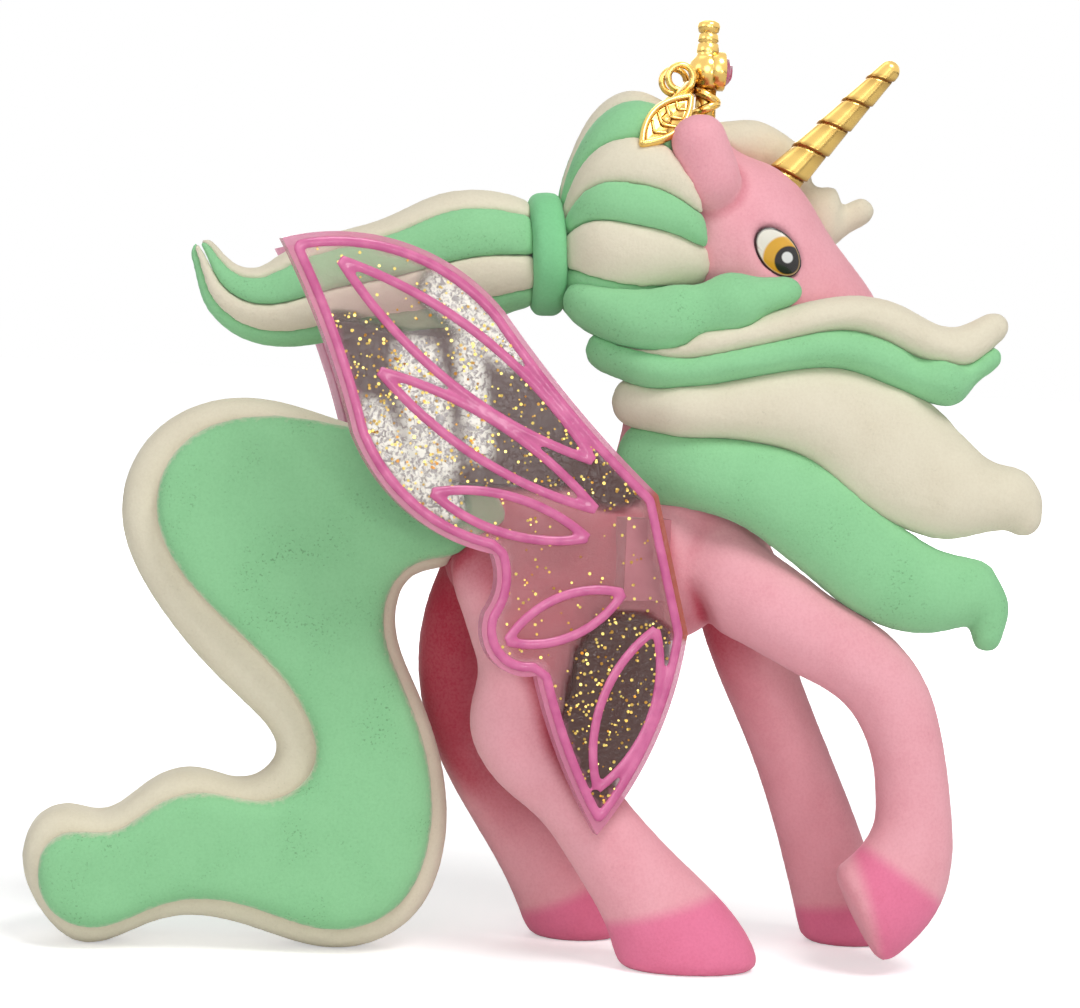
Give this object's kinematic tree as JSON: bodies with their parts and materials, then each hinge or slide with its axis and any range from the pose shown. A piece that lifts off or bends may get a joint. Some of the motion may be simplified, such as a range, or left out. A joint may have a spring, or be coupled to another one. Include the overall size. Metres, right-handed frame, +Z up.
{
  "type": "winged unicorn figurine",
  "caption": "Small standing winged unicorn toy figurine with a flocked pink body, striped mint and white mane and tail, clear glitter wings, gold horn and tiara.",
  "frame": {"origin": "centre of the figurine's bounding box, on the ground under its hooves", "axes": "+X towards the nose, +Y to the animal's left, +Z up"},
  "size_m": [0.0571, 0.022, 0.0543],
  "materials": {
    "pink_flock": "cast plastic covered in short pink flock, hooves deeper pink",
    "mint_flock": "cast plastic covered in short mint green flock",
    "white_flock": "cast plastic covered in short off-white flock",
    "clear_wing": "clear moulded plastic with gold glitter in it and raised lines painted pink",
    "gold_plate": "bright gold-coloured plating",
    "pink_stone": "faceted and polished",
    "eye_print": "white insert with a printed iris, pupil and outline",
    "bare_plastic": "plain, hidden inside the hair"
  },
  "bodies": {
    "root": {"cap_bottom_mint": "mint_flock", "cap_left_lower_mint": "mint_flock", "cap_left_lower_white": "white_flock", "cap_left_upper_mint": "mint_flock", "cap_left_upper_white": "white_flock", "cap_right_lower_mint": "mint_flock", "cap_right_lower_white": "white_flock", "cap_right_upper_mint": "mint_flock", "cap_right_upper_white": "white_flock", "cap_top_white": "white_flock", "cheek_lock": "mint_flock", "forelock": "white_flock", "hair_pin": "bare_plastic", "hair_tie": "mint_flock", "head": "pink_flock", "horn": "gold_plate", "left_eye": "eye_print", "left_foreleg": "pink_flock", "left_hind_leg": "pink_flock", "left_tail_pad": "mint_flock", "left_wing": "clear_wing", "lower_lock": "mint_flock", "middle_lock": "white_flock", "ponytail_bottom_mint": "mint_flock", "ponytail_left_upper_mint": "mint_flock", "ponytail_left_upper_white": "white_flock", "ponytail_right_upper_mint": "mint_flock", "ponytail_right_upper_white": "white_flock", "ponytail_top_white": "white_flock", "right_eye": "eye_print", "right_foreleg": "pink_flock", "right_hind_leg": "pink_flock", "right_tail_pad": "mint_flock", "right_wing": "clear_wing", "tail_core": "white_flock", "tiara": "gold_plate", "tiara_stone": "pink_stone", "torso": "pink_flock", "upper_lock_mint": "mint_flock", "upper_lock_white": "white_flock"}
  },
  "joints": []
}
